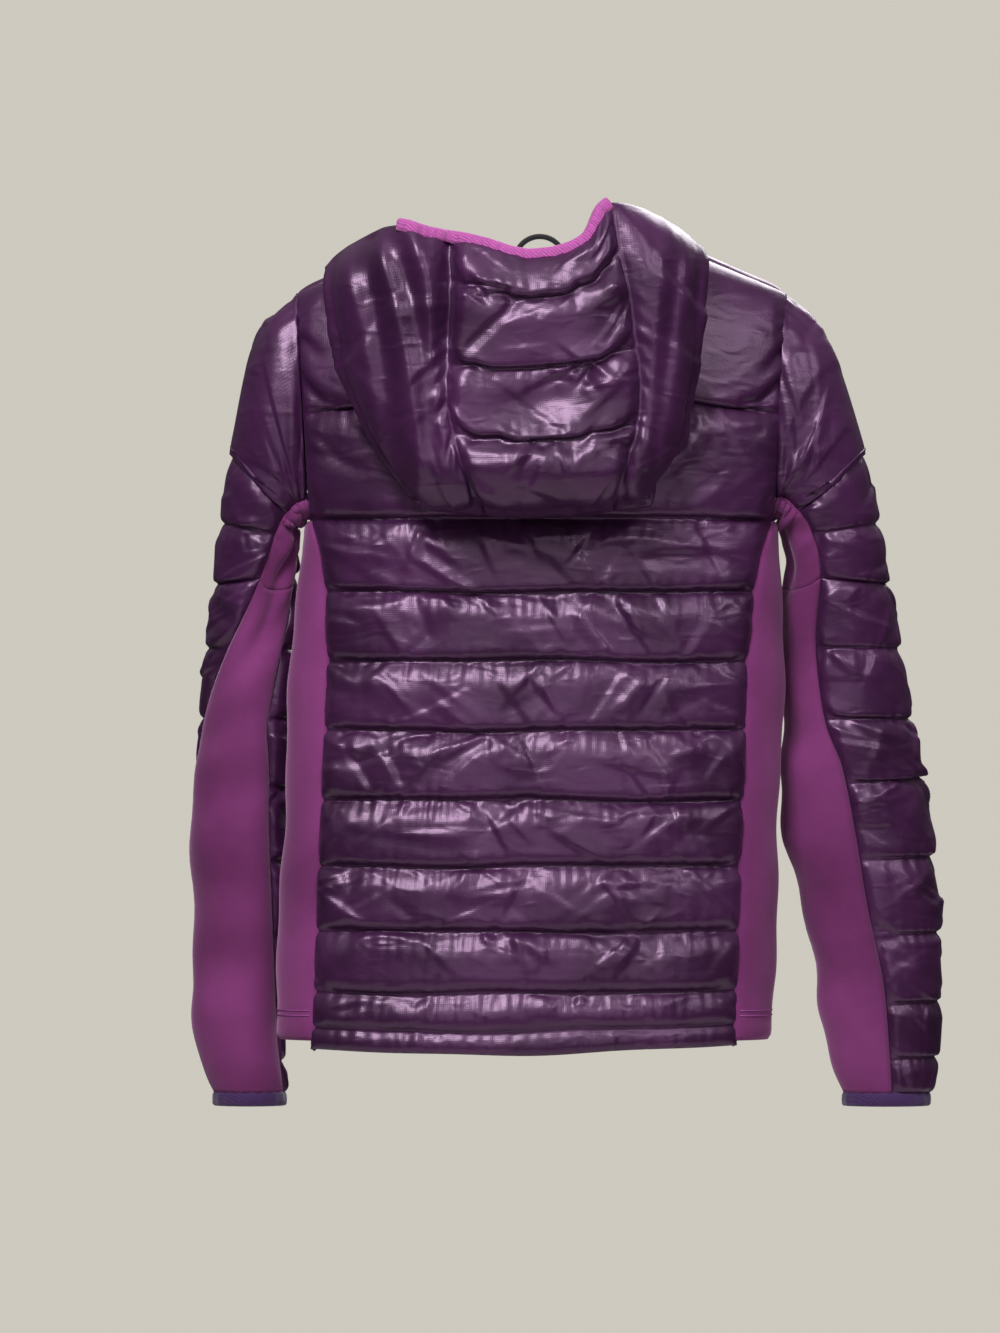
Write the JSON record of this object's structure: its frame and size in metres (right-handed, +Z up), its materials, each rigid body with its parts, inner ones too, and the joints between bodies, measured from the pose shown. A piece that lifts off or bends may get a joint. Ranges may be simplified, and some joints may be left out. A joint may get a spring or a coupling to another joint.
{
  "type": "hooded ski jacket",
  "caption": "Hooded hybrid down ski jacket hanging from its neck loop: quilted body, hood and outer sleeves, stretch side and under-sleeve panels, bound cuffs, zips.",
  "frame": {"origin": "underside of the hanging loop inside the back of the neck, where a hook carries the jacket", "axes": "+Z up as the jacket hangs, +Y towards the wearer's front, +X towards the wearer's right"},
  "size_m": [0.6145, 0.2297, 0.713],
  "materials": {
    "shell_fabric": "glossy light nylon over down, purple",
    "stretch_fabric": "matt brushed stretch fabric, magenta",
    "lining": "smooth nylon lining, dark purple",
    "hood_binding": "ribbed elastic binding, pink",
    "cuff_binding": "ribbed elastic binding, violet",
    "zip_tape": "woven zip tape and moulded teeth, dark purple",
    "zip_metal": "zip slider, pull and retainer, dark lacquered",
    "loop_cord": "round braided cord, black",
    "label": "woven label, white, with nothing on it"
  },
  "bodies": {
    "torso": {"back_lining": "lining", "back_panel": "shell_fabric", "collar_left": "shell_fabric", "collar_right": "shell_fabric", "front_lining_left": "lining", "front_lining_right": "lining", "front_panel_left": "shell_fabric", "front_panel_right": "shell_fabric", "front_zip_left_tape": "zip_tape", "front_zip_left_teeth": "zip_tape", "front_zip_retainer_box": "zip_metal", "front_zip_right_tape": "zip_tape", "front_zip_right_teeth": "zip_tape", "hanging_loop": "loop_cord", "neck_label": "label", "pocket_bag_left": "lining", "pocket_bag_right": "lining", "pocket_zip_left_inner_tape": "zip_tape", "pocket_zip_left_outer_tape": "zip_tape", "pocket_zip_right_inner_tape": "zip_tape", "pocket_zip_right_outer_tape": "zip_tape", "side_panel_left": "stretch_fabric", "side_panel_right": "stretch_fabric"},
    "hood": {"hood_centre_panel": "shell_fabric", "hood_crown_panel": "shell_fabric", "hood_edge_binding": "hood_binding", "hood_nape_panel": "shell_fabric", "hood_side_panel_left": "shell_fabric", "hood_side_panel_right": "shell_fabric"},
    "upper_sleeve_left": {"upper_sleeve_left_quilted": "shell_fabric", "upper_sleeve_left_stretch": "stretch_fabric"},
    "lower_sleeve_left": {"lower_sleeve_left_quilted": "shell_fabric", "lower_sleeve_left_stretch": "stretch_fabric", "cuff_binding_left": "cuff_binding"},
    "pocket_zip_slider_left": {"pocket_zip_left_slider": "zip_metal"},
    "pocket_zip_pull_left": {"pocket_zip_left_pull": "zip_metal"},
    "upper_sleeve_right": {"upper_sleeve_right_quilted": "shell_fabric", "upper_sleeve_right_stretch": "stretch_fabric"},
    "lower_sleeve_right": {"lower_sleeve_right_quilted": "shell_fabric", "lower_sleeve_right_stretch": "stretch_fabric", "cuff_binding_right": "cuff_binding"},
    "pocket_zip_slider_right": {"pocket_zip_right_slider": "zip_metal"},
    "pocket_zip_pull_right": {"pocket_zip_right_pull": "zip_metal"},
    "front_zip_slider": {"front_zip_slider": "zip_metal"},
    "front_zip_pull": {"front_zip_pull": "zip_metal"}
  },
  "joints": [
    {"name": "hood_fold", "type": "hinge", "parent": "torso", "child": "hood", "pos_m": [0, -0.0158, -0.021], "axis": [-1, 0, 0], "range_deg": [0, 110]},
    {"name": "shoulder_left", "type": "hinge", "parent": "torso", "child": "upper_sleeve_left", "pos_m": [-0.1982, 0.0362, -0.038], "axis": [0, 1, 0], "range_deg": [0, 45]},
    {"name": "elbow_left", "type": "hinge", "parent": "upper_sleeve_left", "child": "lower_sleeve_left", "pos_m": [-0.25, 0.1162, -0.385], "axis": [1, 0, 0], "range_deg": [0, 80], "stiffness_Nm_per_rad": 0.05},
    {"name": "shoulder_right", "type": "hinge", "parent": "torso", "child": "upper_sleeve_right", "pos_m": [0.1982, 0.0362, -0.038], "axis": [0, -1, 0], "range_deg": [0, 45]},
    {"name": "elbow_right", "type": "hinge", "parent": "upper_sleeve_right", "child": "lower_sleeve_right", "pos_m": [0.25, 0.1162, -0.385], "axis": [1, 0, 0], "range_deg": [0, 80], "stiffness_Nm_per_rad": 0.05},
    {"name": "front_zip_slide", "type": "slide", "parent": "torso", "child": "front_zip_slider", "axis": [-0.0187, 0.0334, -0.9993], "range_m": [0, 0.38]},
    {"name": "front_zip_pull_flip", "type": "hinge", "parent": "front_zip_slider", "child": "front_zip_pull", "pos_m": [-0.00031, 0.1038, -0.23723], "axis": [0.9998, 0.0006, -0.0187], "range_deg": [0, 120]},
    {"name": "pocket_zip_slide_left", "type": "slide", "parent": "torso", "child": "pocket_zip_slider_left", "axis": [-0.0187, 0.0298, -0.9994], "range_m": [0, 0.085]},
    {"name": "pocket_zip_pull_flip_left", "type": "hinge", "parent": "pocket_zip_slider_left", "child": "pocket_zip_pull_left", "pos_m": [-0.11351, 0.10262, -0.42904], "axis": [0.9839, 0.1782, -0.0131], "range_deg": [0, 120]},
    {"name": "pocket_zip_slide_right", "type": "slide", "parent": "torso", "child": "pocket_zip_slider_right", "axis": [-0.0187, 0.0298, -0.9994], "range_m": [0, 0.085]},
    {"name": "pocket_zip_pull_flip_right", "type": "hinge", "parent": "pocket_zip_slider_right", "child": "pocket_zip_pull_right", "pos_m": [0.10571, 0.10262, -0.42907], "axis": [0.9839, -0.1771, -0.0237], "range_deg": [0, 120]}
  ]
}
